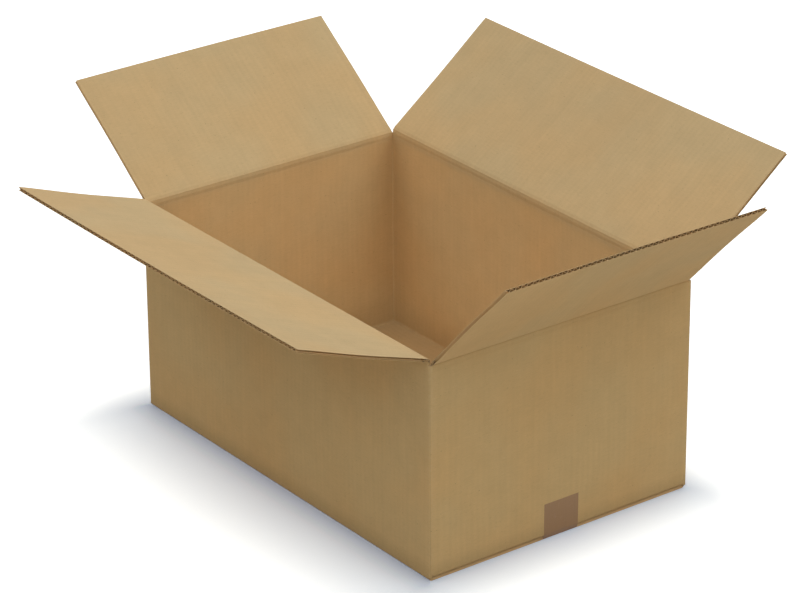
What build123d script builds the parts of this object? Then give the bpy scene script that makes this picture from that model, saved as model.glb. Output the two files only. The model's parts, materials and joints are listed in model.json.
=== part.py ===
"""An open corrugated carton: one folded sheet with four hinged top flaps and a taped bottom.

The sheet is the usual slotted case. Its four walls stand as a tube with folded corners, closed by a
glue tab inside one corner. Below, the two short flaps fold in first and the two long flaps close
under them, edge to edge, and a strip of tape holds that seam. The four top flaps stand open, each at
its own lean, on crushed creases. X runs along the long walls, Y along the short ones, and the origin
is at the middle of the underside. Front is the -Y side and right is the +X side.
"""

from build123d import *
from math import cos, radians, sin
import os

# Driving dimensions, in millimetres
outer_length = 569.0
outer_width = 376.0
crease_height = 273.0  # underside to the long flaps' crease
board = 4.0  # corrugated board, both liners and the flutes between them
sheet_clearance = 0.3  # between two sheets that pass or lie on each other
flap_meeting_gap = 1.0  # between the two long flaps where they close edge to edge

# Lean of each open top flap, in degrees outward from upright
front_long_lean = 70.4
back_long_lean = 52.0
left_short_lean = 53.6
right_short_lean = 44.3

# Corrugation, seen at the cut edges of the flaps
flute_pitch = 7.9
liner = 0.4
flute_web = 0.35
flute_crest = 1.6
flute_reach = 15.0  # how far in from the free edge the channels are open
side_groove = 1.5  # half a flute laid open by the cut along each side edge

# Creases: the board is crushed to a thin strip on the fold line
crush_width = 6.0
crease_nose = 0.5
lip_gap = 1.25  # fold line down to the wall's crushed lip
lip_start = 5.0  # fold line down to where the wall starts to thin
lip_half = 0.15

# Folds of the walls and bottom
fold_radius = 3.5
bottom_fold = 3.0
bottom_slot = 2.0  # the long bottom flaps stop this far short of the end walls' faces
glue_tab_width = 35.0
glue_tab_thickness = 3.0
glue_tab_trim = 14.0  # the tab's ends are cut back and slanted by this much
joint_groove = 1.6

# Packing tape
tape_width = 50.0
tape_thickness = 0.15
tape_rise = 46.0  # up each end wall
tape_contact = 2.1  # start of the end walls' lower folds up to where the drawn tape meets them

# Worked-out sizes
inner_length = outer_length - 2 * board
inner_width = outer_width - 2 * board
short_crease_height = crease_height - board - sheet_clearance
slot_inset = board + sheet_clearance
long_flap_span = outer_length - 2 * slot_inset
short_flap_span = outer_width - 2 * slot_inset
flap_depth = (outer_width - board - flap_meeting_gap) / 2
wall_tube_top = short_crease_height - crush_width
inner_layer_floor = board + sheet_clearance
short_flap_end = outer_length / 2 - board / 2 - flap_depth

up = Vector(0, 0, 1)


def top_flap(outward, wall_offset, fold_height, span, lean):
    """One top flap, standing at its lean on the fold line, with its cut edges open."""
    rise = outward * sin(radians(lean)) + up * cos(radians(lean))
    along = outward.cross(up)
    fold_line = outward * wall_offset + up * fold_height
    section_plane = Plane(origin=fold_line, x_dir=rise, z_dir=along)
    edge_plane = Plane(origin=fold_line + rise * flap_depth, x_dir=along, z_dir=rise)

    cell_height = board - 2 * liner - flute_web
    slant_run = flute_pitch / 2 - flute_crest
    slant_height = board - 2 * liner
    web_across = flute_web * (slant_run**2 + slant_height**2) ** 0.5 / slant_height
    cell_base = flute_pitch - flute_crest - web_across
    cell_top = cell_base - 2 * slant_run * cell_height / slant_height
    flute_count = int((span - 2 * side_groove - cell_base) // flute_pitch) + 1

    with BuildPart() as flap:
        # The board, thinned to a round nose on the fold line
        with BuildSketch(section_plane):
            with BuildLine():
                nose = ThreePointArc((0, crease_nose), (-crease_nose, 0), (0, -crease_nose))
                Polyline(
                    nose @ 1,
                    (crush_width, -board / 2),
                    (flap_depth, -board / 2),
                    (flap_depth, board / 2),
                    (crush_width, board / 2),
                    nose @ 0,
                )
            make_face()
        extrude(amount=span / 2, both=True)

        # Open flutes along the free edge: channels on the two liners by turns
        with BuildSketch(edge_plane):
            for facing, count in ((-1, flute_count), (1, flute_count - 1)):
                base_line = facing * (board / 2 - liner)
                top_line = base_line - facing * cell_height
                with GridLocations(flute_pitch, flute_pitch, count, 1):
                    Polygon(
                        (-cell_base / 2, base_line),
                        (cell_base / 2, base_line),
                        (cell_top / 2, top_line),
                        (-cell_top / 2, top_line),
                        align=None,
                    )
        extrude(amount=-flute_reach, mode=Mode.SUBTRACT)

        # The side cuts run along a flute, so each lays a groove open between the liners
        for side in (-1, 1):
            with BuildSketch(section_plane.offset(side * span / 2)):
                with Locations(((crush_width + flap_depth) / 2, 0)):
                    Rectangle(flap_depth - crush_width, board - 2 * liner)
            extrude(amount=-side * side_groove, mode=Mode.SUBTRACT)
    return flap.part


# The walls that carry the top flaps: outward direction, middle of the board, fold height, flap span
front_wall = (Vector(0, -1, 0), outer_width / 2 - board / 2, crease_height, long_flap_span)
back_wall = (Vector(0, 1, 0), outer_width / 2 - board / 2, crease_height, long_flap_span)
left_wall = (Vector(-1, 0, 0), outer_length / 2 - board / 2, short_crease_height, short_flap_span)
right_wall = (Vector(1, 0, 0), outer_length / 2 - board / 2, short_crease_height, short_flap_span)

os.makedirs("parts", exist_ok=True)

# Box body: walls, glue tab and the four closed bottom flaps, folded from one sheet
with BuildPart() as box_body:
    # Four walls, folded at three corners; the fourth is the glued joint, left square
    with BuildSketch(Plane.XY.offset(board)) as wall_tube:
        Rectangle(outer_length, outer_width)
        joint_corner = (outer_length / 2, outer_width / 2)
        folded_corners = wall_tube.vertices().sort_by_distance(joint_corner)[1:]
        fillet(folded_corners, radius=fold_radius)
        Rectangle(inner_length, inner_width, mode=Mode.SUBTRACT)
    extrude(amount=wall_tube_top - board)

    # Corner posts up to the slot roots, left and right of each flap
    with BuildSketch(Plane.XY.offset(wall_tube_top)) as corner_posts:
        add(wall_tube.sketch)
        Rectangle(long_flap_span, 2 * outer_width, mode=Mode.SUBTRACT)
        Rectangle(2 * outer_length, short_flap_span, mode=Mode.SUBTRACT)
    extrude(amount=short_crease_height - lip_gap - wall_tube_top)

    # Wall tops, thinned to a crushed lip under each crease
    for outward, wall_offset, fold_height, span in (front_wall, back_wall, left_wall, right_wall):
        fold_line = outward * wall_offset + up * fold_height
        tube_end = wall_tube_top - fold_height
        with BuildSketch(Plane(origin=fold_line, x_dir=up, z_dir=outward.cross(up))):
            with BuildLine():
                Polyline(
                    (tube_end, -board / 2),
                    (-lip_start, -board / 2),
                    (-lip_gap, -lip_half),
                    (-lip_gap, lip_half),
                    (-lip_start, board / 2),
                    (tube_end, board / 2),
                    close=True,
                )
            make_face()
        extrude(amount=span / 2, both=True)

    # Outer bottom layer: the long flaps, folded round under the long walls to a seam on y = 0
    with BuildSketch(Plane.YZ) as long_bottom_flaps:
        with BuildLine():
            fold = RadiusArc((outer_width / 2 - board, 0), (outer_width / 2, board), -board)
            Polyline(
                fold @ 1,
                (flap_meeting_gap / 2, board),
                (flap_meeting_gap / 2, 0),
                fold @ 0,
            )
        make_face()
        mirror(about=Plane.YZ)
    extrude(amount=outer_length / 2 - bottom_slot, both=True)

    # Inner bottom layer: the short flaps, folded in above the long ones
    with BuildSketch(Plane.XY.offset(inner_layer_floor)) as short_bottom_flaps:
        Rectangle(outer_length - 2 * board, inner_width)
        Rectangle(2 * short_flap_end, inner_width, mode=Mode.SUBTRACT)
    extrude(amount=board)

    # The short walls' lower folds, and the hairline between the two layers
    with BuildSketch(Plane.XZ) as short_wall_folds:
        with BuildLine():
            turn = RadiusArc(
                (outer_length / 2 - bottom_fold, inner_layer_floor),
                (outer_length / 2, inner_layer_floor + bottom_fold),
                -bottom_fold,
            )
            Polyline(
                turn @ 1,
                (outer_length / 2 + board, inner_layer_floor + bottom_fold),
                (outer_length / 2 + board, board),
                (short_flap_end, board),
                (short_flap_end, inner_layer_floor),
                turn @ 0,
            )
        make_face()
        mirror(about=Plane.YZ)
    extrude(amount=inner_width / 2, both=True, mode=Mode.SUBTRACT)

    # Glue tab: the back wall's end, carried round inside the right wall with slanted ends
    tab_face = Plane(origin=(inner_length / 2, inner_width / 2, 0), x_dir=(0, -1, 0), z_dir=(-1, 0, 0))
    tab_low = inner_layer_floor + board + sheet_clearance
    tab_high = short_crease_height - crush_width
    with BuildSketch(tab_face) as glue_tab:
        with BuildLine():
            Polyline(
                (0, tab_low),
                (0, tab_high),
                (glue_tab_width, tab_high - glue_tab_trim),
                (glue_tab_width, tab_low + glue_tab_trim),
                close=True,
            )
        make_face()
    extrude(amount=glue_tab_thickness)

    # Open line of the glued joint, where the right wall's raw edge meets the folded back wall
    with BuildSketch(Plane.XY.offset(board)) as joint_line:
        with Locations((outer_length / 2 - board, outer_width / 2)):
            Rectangle(joint_groove, joint_groove, rotation=45)
    extrude(amount=crease_height, mode=Mode.SUBTRACT)

    # The tape lies pressed into the underside, level with it
    with BuildSketch(Plane.XY) as tape_bed:
        Rectangle(outer_length, tape_width)
    extrude(amount=tape_thickness, mode=Mode.SUBTRACT)
box_body.part.label = "box_body"
export_step(box_body.part, "parts/box_body.step")

# Bottom tape: one strip along the seam, drawn up the middle of both end walls
with BuildPart() as bottom_tape:
    # Drawn straight from the long flaps' ends to the walls, just clear of the folds between
    flap_end = outer_length / 2 - bottom_slot
    wall_contact = inner_layer_floor + tape_contact
    with BuildSketch(Plane.XZ):
        with BuildLine():
            Polyline(
                (-outer_length / 2, tape_rise),
                (-outer_length / 2, wall_contact),
                (-flap_end, tape_thickness),
                (flap_end, tape_thickness),
                (outer_length / 2, wall_contact),
                (outer_length / 2, tape_rise),
            )
            offset(amount=tape_thickness, side=Side.RIGHT)
        make_face()
    extrude(amount=tape_width / 2, both=True)
bottom_tape.part.label = "bottom_tape"
export_step(bottom_tape.part, "parts/bottom_tape.step")

# Top flaps
for name, wall, lean in (
    ("front_long_flap", front_wall, front_long_lean),
    ("back_long_flap", back_wall, back_long_lean),
    ("left_short_flap", left_wall, left_short_lean),
    ("right_short_flap", right_wall, right_short_lean),
):
    flap = top_flap(*wall, lean)
    flap.label = name
    export_step(flap, f"parts/{name}.step")
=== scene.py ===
"""Looks of an open corrugated carton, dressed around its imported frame.

The carton is one folded sheet of kraft board with four top flaps standing open and a strip of brown
tape under its bottom. Every size is read from the frame or worked out from the board's own make-up,
and every piece is built in metres in the frame's place.
"""

from __future__ import annotations

import json
import logging
import math
from collections.abc import Iterable
from dataclasses import dataclass
from enum import Enum

import bmesh
import bpy
import numpy as np
from mathutils import Matrix, Vector

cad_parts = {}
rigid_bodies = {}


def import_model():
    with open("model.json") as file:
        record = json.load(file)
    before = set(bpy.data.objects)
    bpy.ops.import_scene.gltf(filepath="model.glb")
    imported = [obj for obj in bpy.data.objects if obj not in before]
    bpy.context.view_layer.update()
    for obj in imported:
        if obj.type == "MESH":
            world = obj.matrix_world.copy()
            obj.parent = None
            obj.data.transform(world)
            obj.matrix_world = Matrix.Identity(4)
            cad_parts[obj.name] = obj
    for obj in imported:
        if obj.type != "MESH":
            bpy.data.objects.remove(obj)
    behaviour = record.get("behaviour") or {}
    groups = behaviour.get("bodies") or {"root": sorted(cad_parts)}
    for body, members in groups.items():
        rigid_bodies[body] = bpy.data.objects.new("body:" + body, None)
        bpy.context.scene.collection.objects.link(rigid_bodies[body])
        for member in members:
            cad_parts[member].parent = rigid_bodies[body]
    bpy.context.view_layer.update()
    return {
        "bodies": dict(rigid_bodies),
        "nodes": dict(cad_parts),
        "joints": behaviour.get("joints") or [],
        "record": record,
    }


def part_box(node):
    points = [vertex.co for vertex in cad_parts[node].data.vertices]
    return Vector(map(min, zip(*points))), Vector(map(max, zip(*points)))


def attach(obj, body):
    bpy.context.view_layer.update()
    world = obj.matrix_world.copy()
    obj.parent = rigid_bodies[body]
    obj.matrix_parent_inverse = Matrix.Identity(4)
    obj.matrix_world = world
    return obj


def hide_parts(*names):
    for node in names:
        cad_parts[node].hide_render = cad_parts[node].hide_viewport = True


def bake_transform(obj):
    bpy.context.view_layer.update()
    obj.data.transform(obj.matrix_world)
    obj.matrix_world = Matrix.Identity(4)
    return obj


log = logging.getLogger("carton")

MM = 0.001
UP = Vector((0.0, 0.0, 1.0))
BODY = "box"
Socket = bpy.types.NodeSocket
Colour = tuple[float, float, float]


class Side(Enum):
    """The four top flaps, by the name of their node and body."""

    FRONT_LONG = "front_long_flap"
    BACK_LONG = "back_long_flap"
    LEFT_SHORT = "left_short_flap"
    RIGHT_SHORT = "right_short_flap"

    @property
    def hinge(self) -> str:
        """Name of the joint that carries the flap."""
        return self.value.replace("_flap", "_crease")


class Face(Enum):
    """What a face of the board shows; the value is its material slot on a piece."""

    OUTSIDE = 0
    INSIDE = 1
    CUT = 2
    # Painted shade: a dark paper where open flutes and recessed ends are only in shade
    HOLLOW = 3
    FLUTED = 4


@dataclass(frozen=True)
class Board:
    """Make-up of the corrugated board, in metres."""

    thickness: float = 4.0 * MM
    paper: float = 0.36 * MM
    pitch: float = 7.9 * MM
    crushed: float = 1.1 * MM
    crush_width: float = 6.0 * MM
    sheet_gap: float = 0.3 * MM

    @property
    def half(self) -> float:
        """Half the board's thickness."""
        return self.thickness / 2


class Graph:
    """Short forms for adding and wiring the nodes of one shader or geometry tree."""

    def __init__(self, tree: bpy.types.NodeTree) -> None:
        """Keep the tree that nodes are added to."""
        self.tree = tree

    @classmethod
    def cleared(cls, owner: bpy.types.Material | bpy.types.World) -> Graph:
        """Start from the emptied tree of a new material or world.

        Args:
            owner: The material or world.

        Returns:
            The short forms for its tree.
        """
        owner.use_nodes = True
        owner.node_tree.nodes.clear()
        return cls(owner.node_tree)

    @classmethod
    def group(cls, name: str, kind: str, takes: dict[str, str], gives: dict[str, str]) -> Graph:
        """Start a node group with named inputs and outputs.

        Args:
            name: Name of the group.
            kind: Blender's type name of its tree.
            takes: Kind of socket, such as Float or Geometry, by the input's name.
            gives: Kind of socket by the output's name.

        Returns:
            The short forms for the group's tree.
        """
        tree = bpy.data.node_groups.new(name, kind)
        for way, sockets in (("INPUT", takes), ("OUTPUT", gives)):
            for socket, sort in sockets.items():
                tree.interface.new_socket(socket, in_out=way, socket_type=f"NodeSocket{sort}")
        return cls(tree)

    def add(self, kind: str, inputs: dict | None = None, **settings: object) -> bpy.types.Node:
        """Add one node, set its options and fill its inputs.

        Args:
            kind: Blender's type name of the node.
            inputs: A value, or a socket to link from, by the input's name or index.
            settings: Attributes of the node itself.

        Returns:
            The new node.
        """
        node = self.tree.nodes.new(kind)
        for name, value in settings.items():
            setattr(node, name, value)
        for key, value in (inputs or {}).items():
            if isinstance(value, Socket):
                self.tree.links.new(value, node.inputs[key])
            else:
                node.inputs[key].default_value = value
        return node

    def math(self, operation: str, *values: object, clamp: bool = False) -> Socket:
        """Work out an operation on numbers or sockets, held between 0 and 1 where clamp is set."""
        inputs = dict(enumerate(values))
        return self.add("ShaderNodeMath", inputs, operation=operation, use_clamp=clamp).outputs[0]

    def times(self, first: object, second: object) -> Socket:
        """Multiply two numbers or sockets."""
        return self.math("MULTIPLY", first, second)

    def summed(self, pairs: Iterable[tuple[object, object]]) -> Socket:
        """Multiply the two of each pair and add the products up.

        Args:
            pairs: Pairs of numbers or sockets.

        Returns:
            The sum's socket.
        """
        total: object = 0.0
        for first, second in pairs:
            total = self.math("MULTIPLY_ADD", first, second, total)
        return total

    def ramp(
        self, value: object, low: object, high: object, to_low: object = 0.0, to_high: object = 1.0
    ) -> Socket:
        """Go smoothly from to_low to to_high while a value goes from low to high."""
        inputs = {"Value": value, "From Min": low, "From Max": high, "To Min": to_low, "To Max": to_high}
        return self.add("ShaderNodeMapRange", inputs, interpolation_type="SMOOTHSTEP").outputs[0]

    def tint(self, amount: object, first: object, second: object, blend: str = "MIX") -> Socket:
        """Lay an amount of the second colour over the first, blended by Blender's name of the way."""
        inputs = {0: amount, 6: first, 7: second}
        return self.add("ShaderNodeMix", inputs, data_type="RGBA", blend_type=blend).outputs[2]

    def grey(self, level: Socket) -> Socket:
        """Make a grey of a level."""
        return self.add("ShaderNodeCombineColor", {0: level, 1: level, 2: level}).outputs[0]

    def stretched(self, vector: Socket, scale: tuple[float, float, float]) -> Socket:
        """Scale a coordinate by a factor along each axis."""
        return self.add("ShaderNodeVectorMath", {0: vector, 1: scale}, operation="MULTIPLY").outputs[0]

    def noise(self, vector: Socket, scale: float, detail: float = 2.0, distortion: float = 0.0) -> Socket:
        """Add a noise of mean about one half, with as many grains in a metre as its scale says."""
        inputs = {"Vector": vector, "Scale": scale, "Detail": detail, "Distortion": distortion}
        return self.add("ShaderNodeTexNoise", inputs).outputs[0]

    def surface(self, height: Socket, strength: float, looks: dict[str, object]) -> None:
        """Close a material with a shader that its height bumps.

        Args:
            height: Height of the surface in metres.
            strength: Share of the bump that shows.
            looks: Inputs of the shader by name.
        """
        bump = self.add("ShaderNodeBump", {"Height": height, "Strength": strength, "Distance": 1.0})
        shader = self.add("ShaderNodeBsdfPrincipled", looks | {"Normal": bump.outputs[0]})
        self.add("ShaderNodeOutputMaterial", {0: shader.outputs[0]})

    def seen(self) -> Socket:
        """Tell the rays that show the background, straight or in metal and glass, from all others.

        Returns:
            The socket of 1 for such a ray and 0 for any other.
        """
        path = self.add("ShaderNodeLightPath").outputs
        seen = self.math("ADD", path["Is Camera Ray"], path["Is Glossy Ray"])
        return self.math("ADD", seen, path["Is Transmission Ray"], clamp=True)


def rgba(linear: Colour) -> tuple[float, float, float, float]:
    """Give a linear colour the opaque alpha that sockets ask for."""
    return (*linear, 1.0)


@dataclass(frozen=True)
class KraftGrain:
    """The paper grain that every kraft finish shares: clouds, fibres, flecks, the flutes beneath and
    painted shade.

    A swing is how far a pattern makes the paper lighter and darker, and a relief is its height.
    """

    cloud_swing: float = 0.18
    blot_swing: float = 0.12
    band_swing: float = 0.07
    # Painted shade: how much darker the paper is where the walls' painted-shade mask is full
    painted_shade_depth: float = 0.20
    fleck_share: float = 0.35
    rub_share: float = 0.22
    flute_relief: float = 0.030 * MM
    streak_relief: float = 0.012 * MM
    hair_relief: float = 0.020 * MM
    blot_relief: float = 0.060 * MM
    roughness: float = 0.78
    warm: Colour = (1.025, 0.995, 0.965)
    cool: Colour = (0.98, 1.004, 1.03)
    pale_fibre: Colour = (0.80, 0.62, 0.38)
    dark_fibre: Colour = (0.24, 0.14, 0.06)
    fleck: Colour = (0.16, 0.09, 0.04)
    rubbed: Colour = (0.70, 0.52, 0.30)

    def group(self, board: Board) -> bpy.types.NodeTree:
        """Build the node group.

        It reads the board's own map, with X across the flutes and Y along them in metres, and the
        place on the carton. It gives back a colour, a roughness and a height in metres.

        Args:
            board: Make-up of the board, for the flutes that show through.

        Returns:
            The node group.
        """
        takes = {"Sheet": "Vector", "Place": "Vector", "Wear": "Float", "Painted Shade": "Float", "Paper": "Color"}
        takes |= {"Flute Shade": "Float", "Fibre Shade": "Float"}
        gives = {"Color": "Color", "Roughness": "Float", "Height": "Float"}
        graph = Graph.group("kraft_grain", "ShaderNodeTree", takes, gives)
        given = graph.add("NodeGroupInput").outputs
        sheet, place, fibre = given["Sheet"], given["Place"], given["Fibre Shade"]

        # Flutes that show through, straying a little and fading in places
        across = graph.add("ShaderNodeSeparateXYZ", {0: sheet}).outputs[0]
        wander = graph.times(graph.noise(place, 18.0, 1.0), 0.9)
        turns = graph.math("ADD", graph.math("DIVIDE", across, board.pitch), wander)
        wave = graph.math("SINE", graph.times(turns, math.tau))
        strength = graph.ramp(graph.noise(place, 9.0, 2.0), 0.3, 0.7, 0.35, 1.0)
        flutes = graph.times(wave, strength)

        # Patterns of the paper, from the widest to single fibres and flecks
        clouds = graph.noise(place, 4.0, 3.0)
        blots = graph.noise(place, 38.0, 3.0)
        streaks = graph.noise(graph.stretched(sheet, (70.0, 900.0, 1.0)), 1.0, 3.0)
        bands = graph.noise(graph.stretched(sheet, (110.0, 5.0, 1.0)), 1.0, 2.0)
        hairs = graph.noise(graph.stretched(sheet, (420.0, 620.0, 1.0)), 1.0, 4.0, 1.6)
        specks = graph.stretched(sheet, (150.0, 260.0, 1.0))
        cells = graph.add("ShaderNodeTexVoronoi", {"Vector": specks, "Scale": 1.0, "Randomness": 1.0})
        chance = graph.add("ShaderNodeSeparateColor", {0: cells.outputs["Color"]}).outputs
        reach = graph.ramp(chance[1], 0.0, 1.0, 0.05, 0.13)
        near = graph.math("LESS_THAN", cells.outputs["Distance"], reach)
        flecks = graph.times(near, graph.math("GREATER_THAN", chance[0], 0.86))
        scuffs = graph.ramp(graph.noise(place, 240.0, 3.0), 0.35, 0.7)
        worn = graph.math("MULTIPLY", given["Wear"], scuffs, clamp=True)

        light: object = 1.0
        swings = ((clouds, self.cloud_swing), (blots, self.blot_swing), (bands, self.band_swing))
        for pattern, amount in (*swings, (streaks, fibre)):
            factor = graph.math("MULTIPLY_ADD", graph.math("SUBTRACT", pattern, 0.5), amount, 1.0)
            light = graph.times(light, factor)
        # Then the painted shade, which darkens the paper by the walls' painted-shade mask
        for pattern, amount in ((flutes, given["Flute Shade"]), (given["Painted Shade"], -self.painted_shade_depth)):
            light = graph.times(light, graph.math("MULTIPLY_ADD", pattern, amount, 1.0))

        hue = graph.ramp(graph.noise(place, 7.0, 2.0), 0.35, 0.65)
        colour = graph.tint(1.0, given["Paper"], graph.grey(light), "MULTIPLY")
        colour = graph.tint(1.0, colour, graph.tint(hue, rgba(self.warm), rgba(self.cool)), "MULTIPLY")
        for pattern, share, over in (
            (graph.ramp(hairs, 0.60, 0.68), fibre, self.pale_fibre),
            (graph.ramp(hairs, 0.40, 0.33), fibre, self.dark_fibre),
            (flecks, self.fleck_share, self.fleck),
            (worn, self.rub_share, self.rubbed),
        ):
            colour = graph.tint(graph.times(pattern, share), colour, rgba(over))

        reliefs = ((flutes, self.flute_relief), (streaks, self.streak_relief))
        reliefs += ((hairs, self.hair_relief), (blots, self.blot_relief))
        height = graph.summed(reliefs)
        rough = graph.math("MULTIPLY_ADD", hairs, 0.12, self.roughness)
        rough = graph.math("MULTIPLY_ADD", worn, 0.06, rough)
        graph.add("NodeGroupOutput", {"Color": colour, "Roughness": rough, "Height": height})
        return graph.tree


@dataclass(frozen=True)
class KraftFinish:
    """One paper of the board: a liner, the fluted paper, a cut edge or the painted shade of an open flute's
    dark inside.
    """

    name: str
    paper: Colour
    flute_shade: float = 0.012
    fibre_shade: float = 0.14
    gloss: float = 0.15
    sheen: float = 0.05
    sheen_roughness: float = 0.6

    def material(self, grain: bpy.types.NodeTree) -> bpy.types.Material:
        """Make the material.

        Args:
            grain: The shared paper grain.

        Returns:
            The finished material.
        """
        made = bpy.data.materials.new(self.name)
        graph = Graph.cleared(made)
        inputs = {
            "Sheet": graph.add("ShaderNodeUVMap", uv_map="sheet").outputs[0],
            "Place": graph.add("ShaderNodeTexCoord").outputs["Object"],
            "Wear": graph.add("ShaderNodeAttribute", attribute_name="wear").outputs["Fac"],
            # Painted shade, read from the mask stored on the walls
            "Painted Shade": graph.add("ShaderNodeAttribute", attribute_name="painted_shade").outputs["Fac"],
            "Paper": rgba(self.paper),
            "Flute Shade": self.flute_shade,
            "Fibre Shade": self.fibre_shade,
        }
        paper = graph.add("ShaderNodeGroup", inputs, node_tree=grain).outputs
        looks = {"Base Color": paper["Color"], "Roughness": paper["Roughness"]}
        looks |= {"Specular IOR Level": self.gloss, "Sheen Weight": self.sheen}
        graph.surface(paper["Height"], 1.0, looks | {"Sheen Roughness": self.sheen_roughness})
        return made


@dataclass(frozen=True)
class TapeFinish:
    """Brown film tape with a satin face, fine drawn lines and small air pockets."""

    name: str = "brown_packing_tape"
    film: Colour = (0.335, 0.185, 0.076)
    pocket_film: Colour = (0.46, 0.30, 0.17)
    pocket_share: float = 0.22
    line_swing: float = 0.22
    line_relief: float = 0.010 * MM
    pocket_relief: float = 0.05 * MM
    flute_relief: float = 0.012 * MM
    roughness: float = 0.30
    gloss: float = 0.5

    def material(self) -> bpy.types.Material:
        """Make the material, for a piece mapped along its strip.

        Returns:
            The finished material.
        """
        made = bpy.data.materials.new(self.name)
        graph = Graph.cleared(made)
        strip = graph.add("ShaderNodeUVMap", uv_map="sheet").outputs[0]
        lines = graph.noise(graph.stretched(strip, (900.0, 6.0, 1.0)), 1.0, 3.0)
        pocket = graph.ramp(graph.noise(strip, 160.0, 2.0, 0.6), 0.60, 0.72)
        level = graph.math("MULTIPLY_ADD", lines, self.line_swing, 1.0 - self.line_swing / 2)
        colour = graph.tint(1.0, rgba(self.film), graph.grey(level), "MULTIPLY")
        cloudy = graph.times(pocket, self.pocket_share)
        colour = graph.tint(cloudy, colour, rgba(self.pocket_film))
        across = graph.add("ShaderNodeSeparateXYZ", {0: strip}).outputs[1]
        flutes = graph.math("SINE", graph.times(across, math.tau / Board.pitch))
        reliefs = ((lines, self.line_relief), (pocket, self.pocket_relief), (flutes, self.flute_relief))
        height = graph.summed(reliefs)
        rough = graph.math("MULTIPLY_ADD", lines, 0.14, self.roughness)
        looks = {"Base Color": colour, "Roughness": rough, "Specular IOR Level": self.gloss}
        graph.surface(height, 0.7, looks)
        return made


@dataclass(frozen=True)
class FloorFinish:
    """Matt white sweep that the camera sees as white, while it still takes the carton's shadow.

    It turns white away from the carton through a painted glow that only the camera sees, which paints how
    the shadow fades, and it is painted darker beside the front wall as a painted contact shadow. A haste
    is how much sooner it turns white on a side than in front: the left and the right one of the ends, and
    the front and the back one of the sides.
    """

    half_length: float
    half_width: float
    name: str = "white_sweep"
    paint: Colour = (0.74, 0.72, 0.69)
    seen_paint: Colour = (0.92, 0.98, 1.0)
    # Painted shadow: the camera-seen glow beside the carton and far from it, and the reach between them
    near_painted_glow: Colour = (0.0, 0.03, 0.10)
    far_painted_glow: float = 0.60
    painted_shadow_fade: float = 0.13
    # Painted contact shadow: how dark it is and how far out from the front wall it reaches
    painted_contact_shade: float = 0.80
    painted_contact_reach: float = 0.035
    end_haste: tuple[float, float] = (2.5, 1.6)
    side_haste: tuple[float, float] = (1.0, 2.5)

    def material(self) -> bpy.types.Material:
        """Make the material, with a faint painted contact shadow along the front wall.

        Returns:
            The finished material.
        """
        made = bpy.data.materials.new(self.name)
        graph = Graph.cleared(made)
        seen = graph.seen()
        place = graph.add("ShaderNodeTexCoord").outputs["Object"]
        axes = graph.add("ShaderNodeSeparateXYZ", {0: place}).outputs
        gaps = []
        for axis, half, hastes in (
            (axes[0], self.half_length, self.end_haste),
            (axes[1], self.half_width, self.side_haste),
        ):
            for sign, haste in zip((-1.0, 1.0), hastes):
                gap = graph.math("SUBTRACT", graph.times(axis, sign), half)
                gaps.append(graph.times(graph.math("MAXIMUM", gap, 0.0), haste))
        far = graph.math("SQRT", graph.summed(zip(gaps, gaps)))
        # Painted shadow: the camera-seen glow is faint beside the carton and grows to white with the
        # distance, shaping the shadow's fall-off
        away = graph.math("DIVIDE", far, self.painted_shadow_fade, clamp=True)
        lift = graph.tint(away, rgba(self.near_painted_glow), rgba((self.far_painted_glow,) * 3))
        # Painted contact shadow: the seen paint is darkened within a short reach in front of the front wall
        close = graph.math("SUBTRACT", 1.0, graph.math("DIVIDE", far, self.painted_contact_reach), clamp=True)
        painted_contact = graph.times(close, graph.math("DIVIDE", gaps[2], far))
        painted_contact_colour = tuple(self.painted_contact_shade * level for level in self.seen_paint)
        seen_colour = graph.tint(painted_contact, rgba(self.seen_paint), rgba(painted_contact_colour))
        colour = graph.tint(seen, rgba(self.paint), seen_colour)
        matt = graph.add("ShaderNodeBsdfDiffuse", {"Color": colour})
        glow = graph.add("ShaderNodeEmission", {"Color": lift, "Strength": seen})
        both = graph.add("ShaderNodeAddShader", {0: matt.outputs[0], 1: glow.outputs[0]})
        behind = graph.add("ShaderNodeNewGeometry").outputs["Backfacing"]
        clear = graph.add("ShaderNodeBsdfTransparent")
        one_sided = graph.add("ShaderNodeMixShader", {0: behind, 1: both.outputs[0], 2: clear.outputs[0]})
        graph.add("ShaderNodeOutputMaterial", {0: one_sided.outputs[0]})
        return made


@dataclass(frozen=True)
class Papers:
    """The materials of the board, by what they cover."""

    outside: bpy.types.Material
    inside: bpy.types.Material
    cut: bpy.types.Material
    painted_hollow: bpy.types.Material
    fluted: bpy.types.Material

    @classmethod
    def made(cls, board: Board) -> Papers:
        """Make the five papers.

        Args:
            board: Make-up of the board.

        Returns:
            The papers' materials.
        """
        grain = KraftGrain().group(board)
        outer = KraftFinish("outer_kraft_liner", (0.655, 0.448, 0.200))
        inner = KraftFinish("inner_kraft_liner", (0.673, 0.484, 0.246))
        cut = KraftFinish("cut_board_edge", (0.56, 0.385, 0.195), flute_shade=0.0, fibre_shade=0.3)
        # Painted shade: the dark paper put where there is only shade inside open flutes and recesses
        painted_hollow = KraftFinish("painted_flute_shade", (0.17, 0.105, 0.050), flute_shade=0.0, fibre_shade=0.2)
        fluted = KraftFinish("fluted_paper", (0.68, 0.455, 0.215), flute_shade=0.0, fibre_shade=0.2)
        return cls(*(finish.material(grain) for finish in (outer, inner, cut, painted_hollow, fluted)))

    def put_on(self, mesh: bpy.types.Mesh) -> None:
        """Give a mesh all five papers, in the order of the Face values."""
        for material in (self.outside, self.inside, self.cut, self.painted_hollow, self.fluted):
            mesh.materials.append(material)


def add_object(name: str, mesh: bpy.types.Mesh) -> bpy.types.Object:
    """Link a mesh into the scene as an object at the origin.

    Args:
        name: Name of the object.
        mesh: Its mesh.

    Returns:
        The object.
    """
    made = bpy.data.objects.new(name, mesh)
    bpy.context.scene.collection.objects.link(made)
    return made


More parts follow.
